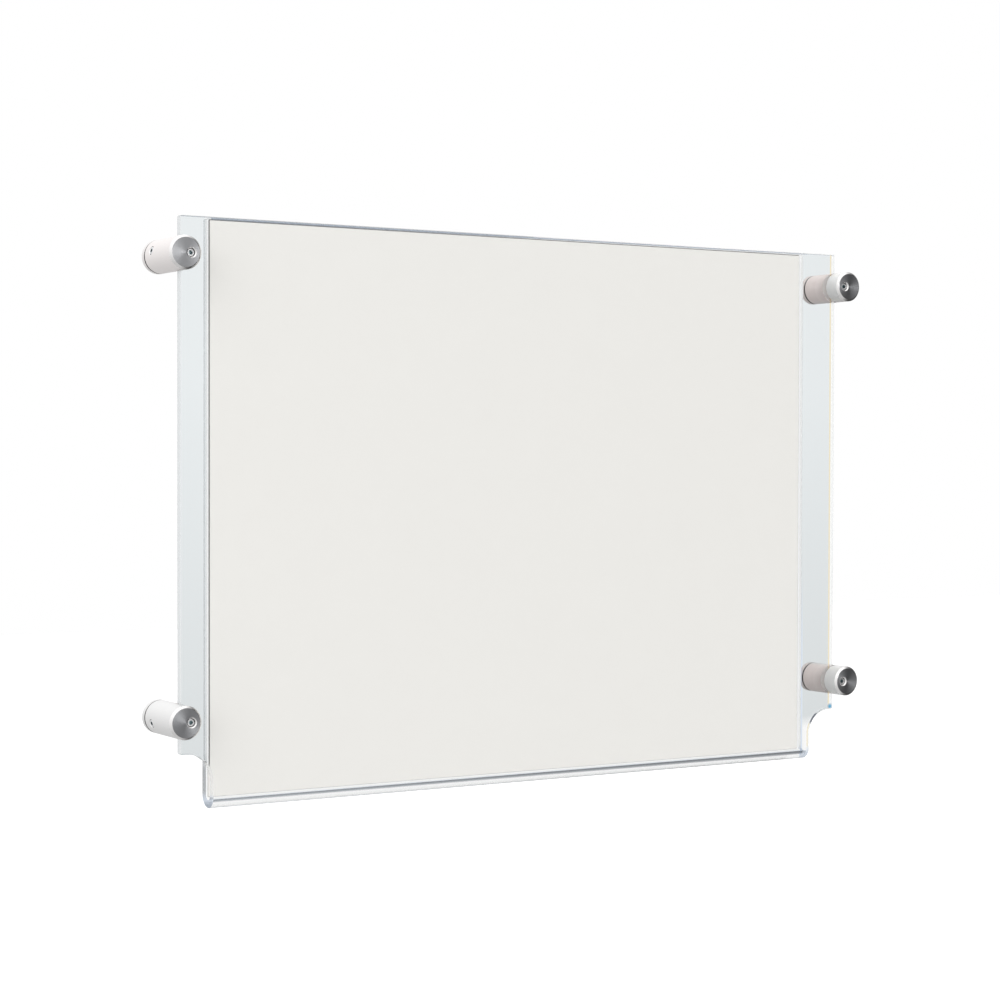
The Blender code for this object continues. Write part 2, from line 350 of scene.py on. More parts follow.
def makeClearAcrylic(look):
    # the tints sit on the outer front surface only, so each ray through the sheet meets them once.
    # Apart from the clear tint, they are painted light and shade.
    finish, tree, shader = newFinish("clearAcrylic", {"Transmission Weight": 1.0, "IOR": 1.49})
    place, (x, y, z) = objectPlace(tree)
    low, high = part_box("acrylic_holder")
    sheet = holderSizes["sheet"]
    fade = look["fade"]
    front = mapRange(tree, y, low[1] + sheet / 3, low[1] + sheet / 2, 1.0, 0.0)

    def tinted(colour, share, tint):
        return mixColour(tree, multiply(tree, share, front), colour, tint)

    # wings: a pale tint of painted shade, deeper towards the bottom
    leftWing = between(tree, x, *look["leftWing"], fade)
    rightWing = between(tree, x, *look["rightWing"], fade)
    wings = maths(tree, 'ADD', leftWing, rightWing)
    wings = multiply(tree, wings, mapRange(tree, z, *look["wingFade"], 1.0, 0.0))
    drop = mapRange(tree, z, look["wingDropFrom"], holderSizes["wingBottom"])
    colour = tinted(look["clear"], wings, mixColour(tree, drop, look["wingTop"], look["wingBottom"]))

    # painted shade: a band along the top rim, thinner over the wings
    taper = mapRange(tree, x, low[0], high[0], *look["rimDepth"])
    overCard = between(tree, x, *look["overCard"], fade)
    depth = mapRange(tree, overCard, 0, 1, look["wingRimDepth"], taper)
    fromTop = maths(tree, 'SUBTRACT', high[2], z)
    colour = tinted(colour, maths(tree, 'LESS_THAN', fromTop, depth), look["rimBand"])

    # painted colour fringes of light: fine lines on both sides of the right wing
    innerX, outerX = look["rightWing"]
    blue = between(tree, x, innerX, innerX + look["blueWidth"], fade)
    blue = multiply(tree, blue, mapRange(tree, z, *look["blueFrom"]))
    colour = tinted(colour, blue, look["blueLine"])
    warm = between(tree, x, outerX, outerX + look["warmWidth"], fade)
    colour = tinted(colour, warm, look["warmLine"])

    # right notch, all painted light and shade: a warm line below, a dark stroke above and a blue glint
    # at the corner
    inward = fromRightNotch(tree, x, z)
    warm = between(tree, inward, *look["notchWarmPlace"], fade)
    warm = multiply(tree, warm, between(tree, z, *look["notchWarm"], look["notchFade"]))
    colour = tinted(colour, warm, look["warmLine"])
    dark = mapRange(tree, inward, look["notchDarkWidth"], look["notchDarkWidth"] + fade, 1.0, 0.0)
    dark = multiply(tree, dark, between(tree, z, *look["notchDarkSpan"], look["notchFade"]))
    colour = tinted(colour, dark, look["notchDark"])
    fromGlint = distanceTo(tree, x, z, *look["glintPlace"])
    glint = mapRange(tree, fromGlint, *look["glintRadius"], 1.0, 0.0)
    colour = tinted(colour, glint, look["blueGlint"])

    # painted light: a pale blue line along the bottom of the fold
    keelLow, keelHigh = look["keelHeight"]
    keel = mapRange(tree, z, low[2] + keelLow, low[2] + keelHigh, 1.0, 0.0)
    colour = mixColour(tree, keel, colour, look["keel"])
    tree.links.new(colour, shader.inputs["Base Color"])
    haze = grain(tree, place, look["hazeSize"], 4)
    gloss = mapRange(tree, haze, *look["hazeSpan"], *look["roughness"])
    tree.links.new(gloss, shader.inputs["Roughness"])
    return openToLamps(finish, tree, shader)


def makePolishedEdge(look):
    # cut rims: scraped smooth. Their colours are painted light and shade, bright at the wings and
    # greyer round the fold
    finish, tree, shader = newFinish("polishedEdge", {"IOR": 1.03})
    place, (x, y, z) = objectPlace(tree)
    low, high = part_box("acrylic_holder")
    middleY = (low[1] + high[1]) / 2
    atBack = mapRange(tree, y, middleY + seam[0], middleY + seam[1])
    leaf = mixColour(tree, atBack, look["frontEnd"], look["backEnd"])
    left = mixColour(tree, mapRange(tree, z, *look["turn"]), look["wingEnd"], leaf)
    colour = mixColour(tree, mapRange(tree, x, *seam), left, look["right"])
    bendFrom, bendTo = look["bendHeight"]
    bend = mapRange(tree, z, low[2] + bendFrom, low[2] + bendTo)
    colour = mixColour(tree, bend, colour, look["foldEnd"])
    tree.links.new(colour, shader.inputs["Base Color"])
    clearness = mapRange(tree, bend, 0, 1, *look["clearness"])
    tree.links.new(clearness, shader.inputs["Transmission Weight"])
    scrape = addNode(tree, "ShaderNodeMapping", {0: place, "Scale": look["scrapeStretch"]})
    marks = grain(tree, scrape.outputs[0], look["scrapeSize"], 3)
    gloss = mapRange(tree, marks, *noiseSpan, *look["roughness"])
    tree.links.new(gloss, shader.inputs["Roughness"])
    return openToLamps(finish, tree, shader)


def makeHolder(sizes):
    low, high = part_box("acrylic_holder")
    sheet = sizes["sheet"]
    outer = (high[1] - low[1]) / 2
    middle = outer - sheet / 2
    centreY = low[1] + outer
    centreZ = low[2] + outer
    leaf = high[2] - centreZ
    foldLength = pi * middle
    blankLength = 2 * leaf + foldLength
    foldX = sizes["foldWidth"] / 2
    wingEnd = high[2] - sizes["wingBottom"]
    notch = sizes["notchRadius"]
    cut = sizes["cornerCut"]

    # outline of the flat blank: x across, s down the front leaf, round the fold and up the back leaf
    half = [(high[0], 0, cut), (high[0], wingEnd, cut)]
    for step in range(sizes["notchSteps"] + 1):
        a = pi / 2 * step / sizes["notchSteps"]
        half.append((foldX + notch * (1 - sin(a)), wingEnd + notch * (1 - cos(a)), 0))
    half.append((foldX, blankLength, cut))
    outline = easeCorners(half + [(-x, s, c) for x, s, c in reversed(half)])

    shape = bmesh.new()
    face = shape.faces.new([shape.verts.new((x, s, -sheet / 2)) for x, s in outline])
    raised = bmesh.ops.extrude_face_region(shape, geom=[face])["geom"]
    for vert in raised:
        if isinstance(vert, bmesh.types.BMVert):
            vert.co.z = sheet / 2
    bmesh.ops.recalc_face_normals(shape, faces=shape.faces)
    arris = []
    for edge in shape.edges:
        one, other = [abs(face.normal.z) for face in edge.link_faces]
        if abs(one - other) > 0.5:
            arris.append(edge)
    bmesh.ops.bevel(shape, geom=arris, offset=sizes["arris"], segments=1, affect='EDGES')
    for face in shape.faces:
        face.material_index = 0 if abs(face.normal.z) > flat else 1
    rows = [leaf - sizes["support"], leaf + foldLength + sizes["support"]]
    rows += [leaf + foldLength * i / sizes["foldSteps"] for i in range(sizes["foldSteps"] + 1)]
    for s in rows:
        everything = shape.verts[:] + shape.edges[:] + shape.faces[:]
        bmesh.ops.bisect_plane(shape, geom=everything, plane_co=(0, s, 0), plane_no=(0, 1, 0))

    # heat bend: the fold's middle layer keeps its length
    for vert in shape.verts:
        x, s, t = vert.co
        angle = min(max(s - leaf, 0) / middle, pi)
        rise = high[2] - centreZ - min(s, leaf) + max(s - leaf - foldLength, 0)
        reach = middle + t
        vert.co = (x, centreY - reach * cos(angle), centreZ + rise - reach * sin(angle))
    faceOutward(shape)
    mesh = shapeToMesh("acrylicHolder", shape)
    shadeSmooth(mesh)
    mesh.materials.append(makeClearAcrylic(acrylicLook))
    mesh.materials.append(makePolishedEdge(edgeLook))
    holder = newPiece("acrylicHolder", mesh)
    finishPiece(holder, "acrylic_holder", "holder")
    print("acrylic holder:", len(mesh.polygons), "faces")


makeHolder(holderSizes)


# Blank card in the pocket
cardSizes = {"bevel": 0.35 * mm}
cardLook = {
    "pale": (0.860, 0.846, 0.814),
    "deep": (0.838, 0.823, 0.790),
    "edge": (0.15, 0.148, 0.147),
    "edgeLow": (0.62, 0.615, 0.60),
    "edgeTurn": (-103 * mm, -106 * mm),
    "layer": 0.15 * mm,
    "layerShade": 1.3,
    "fibre": 0.35 * mm,
    "fibreShare": 0.7,
    "fibreBump": (0.25, 0.03 * mm),
    "cloud": 9 * mm,
    "cloudShare": 0.3,
}


def makePaper(look):
    finish, tree, shader = newFinish("blankCard", {"Roughness": 0.85, "Specular IOR Level": 0.3})
    place = objectPlace(tree)[0]
    fibre = grain(tree, place, look["fibre"], 3, 0.6)
    cloud = grain(tree, place, look["cloud"], 3)
    fibreShare = multiply(tree, fibre, look["fibreShare"])
    share = maths(tree, 'ADD', fibreShare, multiply(tree, cloud, look["cloudShare"]))
    colour = mixColour(tree, share, look["deep"], look["pale"])
    tree.links.new(colour, shader.inputs["Base Color"])
    addBump(tree, shader, fibre, *look["fibreBump"])
    return finish


def makeCardEdge(look):
    # painted shade: the cut edge is dark, and paler towards the bottom
    finish, tree, shader = newFinish("cutCardEdge", {"Roughness": 0.9, "Specular IOR Level": 0.2})
    place, (x, y, z) = objectPlace(tree)
    layers = grain(tree, place, look["layer"], 2)
    dark = mixColour(tree, layers, look["edge"], shaded(look["edge"], look["layerShade"]))
    colour = mixColour(tree, mapRange(tree, z, *look["edgeTurn"]), dark, look["edgeLow"])
    tree.links.new(colour, shader.inputs["Base Color"])
    return finish


def makeCard(sizes):
    low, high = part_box("poster_insert")
    shape = blockShape(low, high)
    bmesh.ops.bevel(shape, geom=shape.edges[:], offset=sizes["bevel"], segments=1, affect='EDGES')
    mesh = shapeToMesh("posterInsert", shape)
    finishes = {"paper": makePaper(cardLook), "edge": makeCardEdge(cardLook)}
    giveFinishes(mesh, finishes, lambda centre, normal: "edge" if abs(normal.y) < flat else "paper")
    card = newPiece("posterInsert", mesh)
    finishPiece(card, "poster_insert", "insert")
    print("card:", [round((b - a) / mm, 1) for a, b in zip(low, high)], "mm")


makeCard(cardSizes)


# Standoffs: local Z points out of the wall and local X towards the panel
corners = {"top_left": (-1, 1), "top_right": (1, 1), "bottom_left": (-1, -1), "bottom_right": (1, -1)}
barrelLow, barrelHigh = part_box("barrel_top_left")
axisX = -(barrelLow[0] + barrelHigh[0]) / 2
axisZ = (barrelLow[2] + barrelHigh[2]) / 2


def standoffPlace(corner):
    side, level = corners[corner]
    return Matrix((
        (-side, 0, 0, side * axisX),
        (0, 0, -1, 0),
        (0, -side, 0, level * axisZ),
        (0, 0, 0, 1),
    ))


def lockPlace(corner, height):
    # local Z points outward from the panel, tilted up at the top and down at the bottom
    side, level = corners[corner]
    tilt = Matrix.Rotation(side * level * barrelSizes["lockTilt"], 4, 'Z')
    return Matrix.Translation((0, 0, height)) @ tilt @ Matrix.Rotation(-pi / 2, 4, 'Y')


def camelName(piece, corner):
    first, *rest = (piece + "_" + corner).split("_")
    return first + "".join(word.capitalize() for word in rest)


barrelSizes = {
    "radius": (barrelHigh[0] - barrelLow[0]) / 2,
    "length": -barrelLow[1],
    "back": -barrelHigh[1],
    "chamfer": 0.8 * mm,
    "rearChamfer": 0.3 * mm,
    "ease": 0.1 * mm,
    "boreRadius": 3.9 * mm,
    "boreEnd": 13.3 * mm,
    "slotFloor": 0.2 * mm,
    "slotBack": 15.3 * mm,
    "slotFront": 19.1 * mm,
    "gripOffset": 2.2 * mm,
    "gripHole": 1.6 * mm,
    "gripSink": 2.0 * mm,
    "lockHeight": 8.6 * mm,
    "lockTilt": radians(15),
    "lockHole": 1.6 * mm,
    "lockSink": 1.9 * mm,
    "cutterClear": 2 * mm,
    "tiny": 0.01 * mm,
    "skin": 0.05 * mm,
    "steps": 128,
    "holeSteps": 48,
}
satinLook = {
    "blast": 0.12 * mm,
    "blastBump": (0.12, 0.01 * mm),
    "cloud": 3 * mm,
    "cloudShade": 0.97,
    "behindFrom": -17.2 * mm,
    "innerFrom": (1 * mm, -3 * mm),
    "innerRoughness": 0.75,
    "litHeadInner": (0.97, 0.965, 0.96),
}
skinLook = {
    "colour": (0.875, 0.84, 0.83),
    "low": (0.815, 0.812, 0.81),
    "behind": (0.90, 0.81, 0.785),
    "roughness": (0.42, 0.52),
}
turnedLook = {
    "face": (0.525, 0.53, 0.545),
    "faceShaded": (0.44, 0.445, 0.46),
    "faceLimit": 0.99,
    "faceRoughness": (0.34, 0.42),
    "ringPitch": 0.16 * mm,
    "ringShade": 0.08,
    "ringBump": (0.15, 0.01 * mm),
    "bright": (0.90, 0.89, 0.885),
    "brightRoughness": (0.14, 0.22),
    "wear": 0.5 * mm,
    "wearShade": 0.95,
    "recess": (0.12, 0.115, 0.115),
    "recessTop": (0.45, 0.44, 0.435),
    "recessRise": (-2 * mm, 5 * mm),
    "slot": (0.72, 0.665, 0.645),
    "sawMark": 0.2 * mm,
    "sawShade": 0.94,
    "sawBump": (0.2, 0.02 * mm),
}


def fromStandoffAxis(tree, x, z):
    offX = maths(tree, 'SUBTRACT', x, multiply(tree, maths(tree, 'SIGN', x), axisX))
    offZ = maths(tree, 'SUBTRACT', z, multiply(tree, maths(tree, 'SIGN', z), axisZ))
    return offX, offZ


def makeSatinMetal(name, look):
    # "low" is a painted shade for the bottom pair; at the right, the inner half takes painted shade
    # behind the sheet and painted light on the head in front of it
    finish, tree, shader = newFinish(name, {"Metallic": 1.0})
    place, (x, y, z) = objectPlace(tree)
    blast = grain(tree, place, satinLook["blast"], 2)
    cloud = grain(tree, place, satinLook["cloud"], 3)
    shade = mixColour(tree, cloud, shaded(look["colour"], satinLook["cloudShade"]), look["colour"])
    gloss = mapRange(tree, cloud, *noiseSpan, *look["roughness"])
    if "low" in look:
        shade = mixColour(tree, mapRange(tree, z, *seam), look["low"], shade)
    if "behind" in look:
        innerX = [axisX + step for step in satinLook["innerFrom"]]
        right = maths(tree, 'GREATER_THAN', x, 0.0)
        inner = multiply(tree, right, mapRange(tree, x, *innerX))
        hidden = maths(tree, 'GREATER_THAN', y, satinLook["behindFrom"])
        innerShade = mixColour(tree, hidden, satinLook["litHeadInner"], look["behind"])
        shade = mixColour(tree, inner, shade, innerShade)
        gloss = mapRange(tree, inner, 0, 1, gloss, satinLook["innerRoughness"])
    tree.links.new(shade, shader.inputs["Base Color"])
    tree.links.new(gloss, shader.inputs["Roughness"])
    addBump(tree, shader, blast, *satinLook["blastBump"])
    return finish


def makeShadedRecess(look):
    # the groove and the slot's floor: dark below, where less light reaches, and paler at the top
    finish, tree, shader = newFinish("shadedRecess", {"Metallic": 1.0, "Roughness": 0.55})
    x, y, z = objectPlace(tree)[1]
    offZ = fromStandoffAxis(tree, x, z)[1]
    rise = mapRange(tree, offZ, *look["recessRise"])
    shade = mixColour(tree, rise, look["recess"], look["recessTop"])
    tree.links.new(shade, shader.inputs["Base Color"])
    return finish


def makeSpunFace(look):
    # turning marks run round each standoff's own axis, so highlights spread along the radius
    finish, tree, shader = newFinish("spunFace", {"Metallic": 1.0, "Anisotropic": 0.75})
    x, y, z = objectPlace(tree)[1]
    offX, offZ = fromStandoffAxis(tree, x, z)
    radial = addNode(tree, "ShaderNodeCombineXYZ", {0: offX, 2: offZ}).outputs[0]
    tree.links.new(radial, shader.inputs["Tangent"])
    radius = addNode(tree, "ShaderNodeVectorMath", {0: radial}, operation='LENGTH').outputs["Value"]
    rings = {"W": radius, "Scale": 1 / look["ringPitch"], "Detail": 3}
    marks = addNode(tree, "ShaderNodeTexNoise", rings, noise_dimensions='1D').outputs["Fac"]
    # painted light and shade: the top-left face is lighter, the other three take a shaded copy
    lit = multiply(tree, mapRange(tree, x, *seam, 1.0, 0.0), mapRange(tree, z, *seam))
    colour = mixColour(tree, lit, look["faceShaded"], look["face"])
    depth = mapRange(tree, marks, 0, 1, look["ringShade"], 0.0)
    tree.links.new(mixColour(tree, depth, colour, (0, 0, 0)), shader.inputs["Base Color"])
    gloss = mapRange(tree, marks, *noiseSpan, *look["faceRoughness"])
    tree.links.new(gloss, shader.inputs["Roughness"])
    addBump(tree, shader, marks, *look["ringBump"])
    return finish


def makeBrightTurned(look):
    finish, tree, shader = newFinish("brightTurned", {"Metallic": 1.0})
    wear = grain(tree, objectPlace(tree)[0], look["wear"], 3)
    shade = mixColour(tree, wear, shaded(look["bright"], look["wearShade"]), look["bright"])
    tree.links.new(shade, shader.inputs["Base Color"])
    gloss = mapRange(tree, wear, *noiseSpan, *look["brightRoughness"])
    tree.links.new(gloss, shader.inputs["Roughness"])
    return finish


def makeSawnSlot(look):
    # saw marks scatter the light, so the slot is rougher than the turned skin; its darker, rosy colour
    # is painted shade
    finish, tree, shader = newFinish("sawnSlot", {"Roughness": 0.6})
    marks = grain(tree, objectPlace(tree)[0], look["sawMark"], 2)
    shade = mixColour(tree, marks, shaded(look["slot"], look["sawShade"]), look["slot"])
    tree.links.new(shade, shader.inputs["Base Color"])
    addBump(tree, shader, marks, *look["sawBump"])
    return finish


def makeBarrel(corner, finishes):
    s = barrelSizes
    name = camelName("barrel", corner)
    faceRadius = s["radius"] - s["chamfer"]
    shoulder = s["length"] - s["chamfer"]
    ease = s["ease"]
    profile = easeCorners([
        (0, s["length"], 0),
        (faceRadius - 2 * ease, s["length"], 0),
        (faceRadius, s["length"], ease),
        (s["radius"], shoulder, ease),
        (s["radius"], shoulder - 2 * ease, 0),
        (s["radius"], s["back"] + s["rearChamfer"] + 2 * ease, 0),
        (s["radius"], s["back"] + s["rearChamfer"], ease),
        (s["radius"] - s["rearChamfer"], s["back"], ease),
        (s["boreRadius"] + s["rearChamfer"], s["back"], 0),
        (s["boreRadius"], s["back"] + s["rearChamfer"], 0),
        (s["boreRadius"], s["boreEnd"], 0),
        (0, s["boreEnd"], 0),
    ])
    barrel = newPiece(name, turnProfile(name, profile, s["steps"]))

    clear = s["cutterClear"]
    reach = s["radius"] + clear
    slotShape = blockShape((s["slotFloor"], -reach, s["slotBack"]), (reach, reach, s["slotFront"]))
    slot = newPiece("slotCutter", shapeToMesh("slotCutter", slotShape))
    sink = s["gripSink"] - s["gripHole"]
    slotMiddle = (s["slotBack"] + s["slotFront"]) / 2
    grip = newPiece("gripCutter", turnProfile("gripCutter", [
        (0, s["length"] + clear),
        (s["gripSink"] + clear, s["length"] + clear),
        (s["gripHole"], s["length"] - sink),
        (s["gripHole"], slotMiddle),
        (0, slotMiddle),
    ], s["holeSteps"]))
    grip.data.transform(Matrix.Translation((s["gripOffset"], 0, 0)))
    lockSink = s["lockSink"] - s["lockHole"]
    lock = newPiece("lockCutter", turnProfile("lockCutter", [
        (0, s["radius"] + clear),
        (s["lockSink"] + clear, s["radius"] + clear),
        (s["lockHole"], s["radius"] - lockSink),
        (s["lockHole"], s["boreRadius"] / 2),
        (0, s["boreRadius"] / 2),
    ], s["holeSteps"]))
    lock.data.transform(lockPlace(corner, s["lockHeight"]))
    cutAway(barrel, [slot, grip, lock])

    tiny = s["tiny"]
    gripAxis = Vector((s["gripOffset"], 0))

    def choose(centre, normal):
        fromAxis = centre.xy.length
        if centre.z > s["length"] - tiny and normal.z > turnedLook["faceLimit"]:
            return "face"
        if centre.z > shoulder - ease and normal.z > slanted:
            return "bright"
        # the rear ring and the slot's floor take the recess's painted shade
        atRear = centre.z < s["back"] + s["rearChamfer"]
        if atRear and fromAxis > s["radius"] - s["rearChamfer"] - ease:
            return "recess"
        if s["slotBack"] - tiny < centre.z < s["slotFront"] + tiny:
            if abs(normal.z) > flat:
                return "slot"
            if normal.x > flat and centre.x < s["slotFloor"] + tiny:
                return "recess"
        if centre.z > s["slotFront"] and (centre.xy - gripAxis).length < s["gripSink"]:
            return "bright"
        atLock = abs(centre.z - s["lockHeight"]) < s["lockSink"]
        if atLock and fromAxis < s["radius"] - s["skin"]:
            return "bright"
        return "skin"

    giveFinishes(barrel.data, finishes, choose)
    barrel.data.transform(standoffPlace(corner))
    shadeSmooth(barrel.data)
    finishPiece(barrel, "barrel_" + corner, "barrels")


barrelFinishes = {
    "skin": makeSatinMetal("satinAluminium", skinLook),
    "face": makeSpunFace(turnedLook),
    "bright": makeBrightTurned(turnedLook),
    "recess": makeShadedRecess(turnedLook),
    "slot": makeSawnSlot(turnedLook),
}
for corner in corners:
    makeBarrel(corner, barrelFinishes)
print("barrels: 4, each with a sheet slot, a grip hole and a lock hole")


baseSizes = {
    "flange": 2.4 * mm,
    "chamfer": 0.25 * mm,
    "spigotRadius": 3.7 * mm,
    "spigotEnd": 12.8 * mm,
    "grooveDepth": 0.3 * mm,
    "grooveHalf": 1.5 * mm,
    "hole": 2.1 * mm,
    "sink": 3.4 * mm,
    "steps": 96,
}
baseLook = {
    "colour": (0.83, 0.805, 0.80),
    "low": (0.80, 0.798, 0.796),
    "behind": (0.86, 0.785, 0.76),
    "roughness": (0.34, 0.46),
}


def makeWallBase(corner, finishes):
    s = baseSizes
    name = camelName("wallBase", corner)
    radius = barrelSizes["radius"]
    middle = barrelSizes["lockHeight"]
    cut = s["chamfer"]
    grooveRadius = s["spigotRadius"] - s["grooveDepth"]
    half = s["grooveHalf"]
    profile = easeCorners([
        (s["sink"], s["spigotEnd"], 0),
        (s["spigotRadius"], s["spigotEnd"], cut / 2),
        (s["spigotRadius"], middle + half, 0),
        (grooveRadius, middle + half - s["grooveDepth"], 0),
        (grooveRadius, middle - half + s["grooveDepth"], 0),
        (s["spigotRadius"], middle - half, 0),
        (s["spigotRadius"], s["flange"], 0),
        (radius - 2 * cut, s["flange"], 0),
        (radius, s["flange"], cut),
        (radius, 2 * cut, 0),
        (radius, 0, cut),
        (radius - 2 * cut, 0, 0),
        (s["hole"], 0, 0),
        (s["hole"], s["spigotEnd"] - s["sink"] + s["hole"], 0),
    ])
    base = newPiece(name, turnProfile(name, profile, s["steps"], closed=True))

    def choose(centre, normal):
        # the outer ring of the flange's front face takes the recess's painted shade
        onFlange = normal.z > slanted and centre.z < s["spigotEnd"] / 2
        return "recess" if onFlange and centre.xy.length > radius - 2 * cut else "skin"

    giveFinishes(base.data, finishes, choose)
    base.data.transform(standoffPlace(corner))
    shadeSmooth(base.data)
    finishPiece(base, "wall_base_" + corner, "wall_bases")


baseFinishes = {"skin": makeSatinMetal("baseAluminium", baseLook), "recess": barrelFinishes["recess"]}
for corner in corners:
    makeWallBase(corner, baseFinishes)
print("wall bases: 4")


# Nylon pads at the tips of the grip screws
padSizes = {"ease": 0.2 * mm, "steps": 48}
padLook = {
    "pale": (0.88, 0.86, 0.80),
    "deep": (0.82, 0.80, 0.73),
    "glowDepth": 0.5 * mm,
    "cloud": 0.8 * mm,
    "pitting": 0.1 * mm,
    "pittingBump": (0.1, 0.01 * mm),
}


def makeNylon(look):
    values = {"Roughness": 0.45, "Subsurface Weight": 0.2, "Subsurface Scale": look["glowDepth"]}
    finish, tree, shader = newFinish("naturalNylon", values)
    place = objectPlace(tree)[0]
    cloud = grain(tree, place, look["cloud"], 2)
    tree.links.new(mixColour(tree, cloud, look["deep"], look["pale"]), shader.inputs["Base Color"])
    addBump(tree, shader, grain(tree, place, look["pitting"]), *look["pittingBump"])
    return finish


def makeGripPad(corner, finish):
    low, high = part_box("grip_pad_" + corner)
    radius = (high[2] - low[2]) / 2
    tip = -high[1]
    top = -low[1]
    ease = padSizes["ease"]
    name = camelName("gripPad", corner)
    profile = easeCorners([
        (0, top, 0),
        (radius - 2 * ease, top, 0),
        (radius, top, ease),
        (radius, tip, ease),
        (radius - 2 * ease, tip, 0),
        (0, tip, 0),
    ])
    pad = newPiece(name, turnProfile(name, profile, padSizes["steps"]))
    pad.data.materials.append(finish)
    pad.data.transform(standoffPlace(corner) @ Matrix.Translation((barrelSizes["gripOffset"], 0, 0)))
    shadeSmooth(pad.data)
    finishPiece(pad, "grip_pad_" + corner, "grip_pad_" + corner)


padFinish = makeNylon(padLook)
for corner in corners:
    makeGripPad(corner, padFinish)
print("grip pads: 4")


# Set screws: one geometry tree makes the helical thread, the end chamfers and the hex socket
screwSizes = {
    "Crest Radius": 1.45 * mm,
    "Pitch": 0.5 * mm,
    "Thread Depth": 0.25 * mm,
    "End Chamfer": 0.15 * mm,
    "Socket Flats": 1.5 * mm,
}
screwDetail = {
    "around": 36,
    "along": 72,
    "socketFrom": 0.02 * mm,
    "socketDepths": 1.02,
    "socketFlats": 0.58,
    "smooth": radians(40),
}
gripScrew = {"Length": 5.6 * mm, "Socket Depth": 2.0 * mm, "head": 25.9 * mm}
lockScrew = {"Length": 2.2 * mm, "Socket Depth": 1.2 * mm, "head": 6.2 * mm}
screwLook = {
    "grip": {"colour": (0.90, 0.90, 0.91), "roughness": (0.36, 0.44)},
    "lock": {"colour": (0.80, 0.805, 0.815), "roughness": (0.30, 0.42)},
    # the socket's blue-green is a painted reflection, and its darker tone painted shade
    "socket": {"colour": (0.45, 0.53, 0.55), "roughness": (0.30, 0.45)},
}


def makeScrewTree(detail):
    tree = bpy.data.node_groups.new("threadedSetScrew", 'GeometryNodeTree')
    for name in (*screwSizes, "Length", "Socket Depth"):
        tree.interface.new_socket(name=name, in_out='INPUT', socket_type='NodeSocketFloat')
    for name in ("Finish", "Socket Finish"):
        tree.interface.new_socket(name=name, in_out='INPUT', socket_type='NodeSocketMaterial')
    tree.interface.new_socket(name="Geometry", in_out='OUTPUT', socket_type='NodeSocketGeometry')
    size = tree.nodes.new("NodeGroupInput").outputs
    crest = size["Crest Radius"]
    headZ = multiply(tree, size["Length"], 0.5)

    # a plain rod, drawn in along the helix and at both ends
    stock = addNode(tree, "GeometryNodeMeshCylinder", {
        "Vertices": detail["around"], "Side Segments": detail["along"],
        "Radius": crest, "Depth": size["Length"]})
    place = addNode(tree, "GeometryNodeInputPosition").outputs[0]
    x, y, z = addNode(tree, "ShaderNodeSeparateXYZ", {0: place}).outputs
    turn = maths(tree, 'DIVIDE', maths(tree, 'ARCTAN2', y, x), 2 * pi)
    phase = maths(tree, 'SUBTRACT', maths(tree, 'DIVIDE', z, size["Pitch"]), turn)
    wave = multiply(tree, maths(tree, 'PINGPONG', phase, 0.5), 2.0)
    threadRadius = maths(tree, 'SUBTRACT', crest, multiply(tree, wave, size["Thread Depth"]))
    fromEnd = maths(tree, 'SUBTRACT', headZ, maths(tree, 'ABSOLUTE', z))
    endRadius = maths(tree, 'SUBTRACT', crest, size["End Chamfer"])
    radius = maths(tree, 'MINIMUM', threadRadius, maths(tree, 'ADD', endRadius, fromEnd))
    scale = maths(tree, 'DIVIDE', radius, crest)
    moved = addNode(tree, "ShaderNodeCombineXYZ", {
        0: multiply(tree, x, scale), 1: multiply(tree, y, scale), 2: z})
    threaded = addNode(tree, "GeometryNodeSetPosition", {
        "Geometry": stock.outputs["Mesh"], "Position": moved.outputs[0]})

    # hex socket, cut from the head
    key = addNode(tree, "GeometryNodeMeshCylinder", {
        "Vertices": 6,
        "Radius": maths(tree, 'DIVIDE', size["Socket Flats"], sqrt(3)),
        "Depth": multiply(tree, size["Socket Depth"], 2.0)})
    atHead = addNode(tree, "ShaderNodeCombineXYZ", {2: headZ})
    keyPlace = addNode(tree, "GeometryNodeTransform", {
        "Geometry": key.outputs["Mesh"], "Translation": atHead.outputs[0]})
    socket = addNode(tree, "GeometryNodeMeshBoolean", {
        "Mesh 1": threaded.outputs[0], "Mesh 2": keyPlace.outputs[0]}, operation='DIFFERENCE')
    real = addNode(tree, "GeometryNodeRealizeInstances", {"Geometry": socket.outputs["Mesh"]})
    coloured = addNode(tree, "GeometryNodeSetMaterial", {
        "Geometry": real.outputs[0], "Material": size["Finish"]})

    # the faces below the head and inside the flats take the socket's finish
    fromHead = maths(tree, 'SUBTRACT', headZ, z)
    squares = maths(tree, 'ADD', multiply(tree, x, x), multiply(tree, y, y))
    fromAxis = maths(tree, 'SQRT', squares)
    deepest = multiply(tree, size["Socket Depth"], detail["socketDepths"])
    widest = multiply(tree, size["Socket Flats"], detail["socketFlats"])
    sunk = maths(tree, 'GREATER_THAN', fromHead, detail["socketFrom"])
    inDepth = maths(tree, 'LESS_THAN', fromHead, deepest)
    inKey = maths(tree, 'LESS_THAN', fromAxis, widest)
    lined = addNode(tree, "GeometryNodeSetMaterial", {
        "Geometry": coloured.outputs[0],
        "Selection": multiply(tree, sunk, inDepth, inKey),
        "Material": size["Socket Finish"]})
    addNode(tree, "NodeGroupOutput", {"Geometry": lined.outputs[0]})
    return tree


def makeScrew(name, tree, values, place):
    screw = newPiece(name, bpy.data.meshes.new(name))
    build = screw.modifiers.new("thread", 'NODES')
    build.node_group = tree
    for item in tree.interface.items_tree:
        if item.name in values:
            build[item.identifier] = values[item.name]
    result = evaluatedMesh(screw)
    screw.modifiers.remove(build)
    screw.data = result
    result.transform(place @ Matrix.Translation((0, 0, values["head"] - values["Length"] / 2)))
    shadeSmooth(result, screwDetail["smooth"])
    return screw


